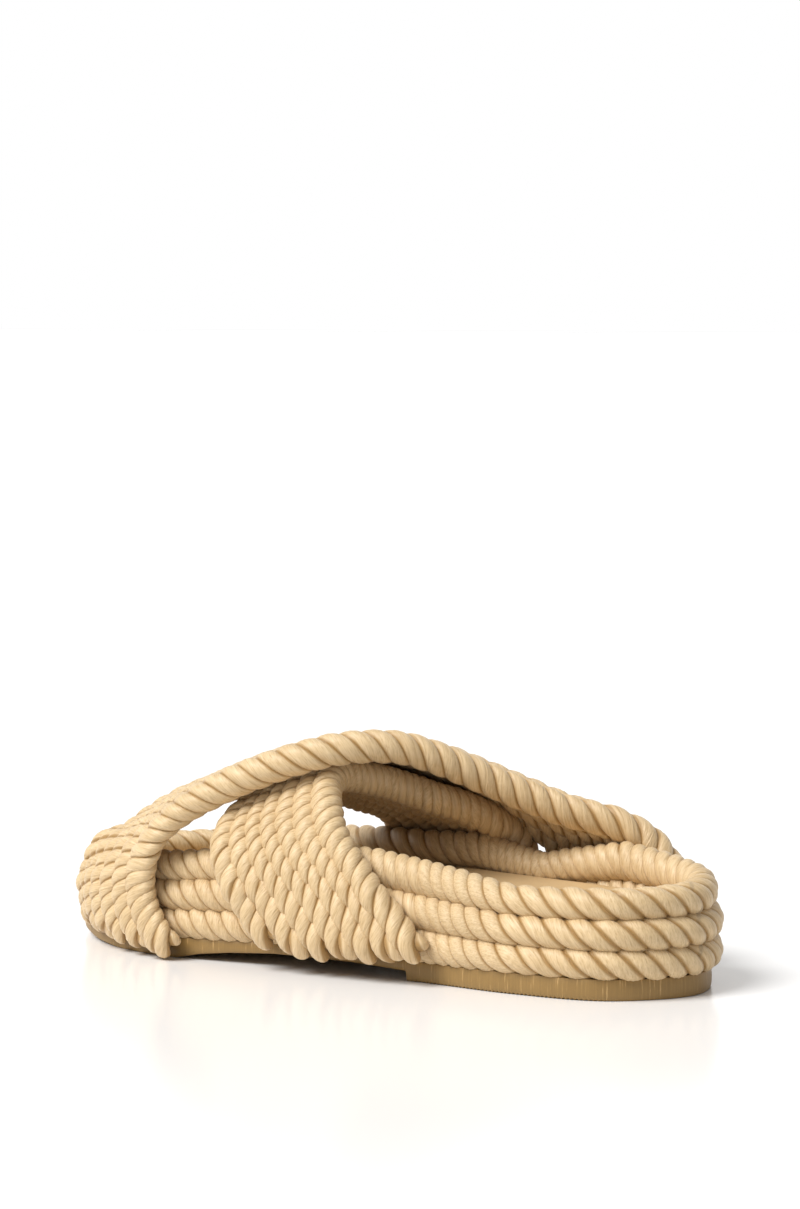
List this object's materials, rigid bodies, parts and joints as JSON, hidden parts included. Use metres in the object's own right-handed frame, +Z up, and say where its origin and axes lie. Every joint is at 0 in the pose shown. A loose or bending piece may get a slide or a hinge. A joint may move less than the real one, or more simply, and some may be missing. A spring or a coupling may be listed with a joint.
{
  "type": "rope sandal",
  "caption": "Left slip-on sandal: flat moulded sole with a low heel, edge built up of stacked twisted rope, and two crossed bands of parallel rope over the foot.",
  "frame": {"origin": "middle of the box round the whole shoe, at ground level", "axes": "+Y from heel to toe, +X to the shoe's right, which is its inner side, +Z up"},
  "size_m": [0.1142, 0.2611, 0.0807],
  "materials": {
    "outsole": "matt, drawn vertical scratches",
    "insole": "smooth, satin",
    "rope": "silky twisted fibre",
    "strap_rope": "silky twisted fibre"
  },
  "bodies": {
    "root": {"outsole": "outsole", "insole": "insole", "rope_row_lower": "rope", "rope_row_middle": "rope", "rope_row_upper": "rope", "upper": "strap_rope"}
  },
  "joints": []
}
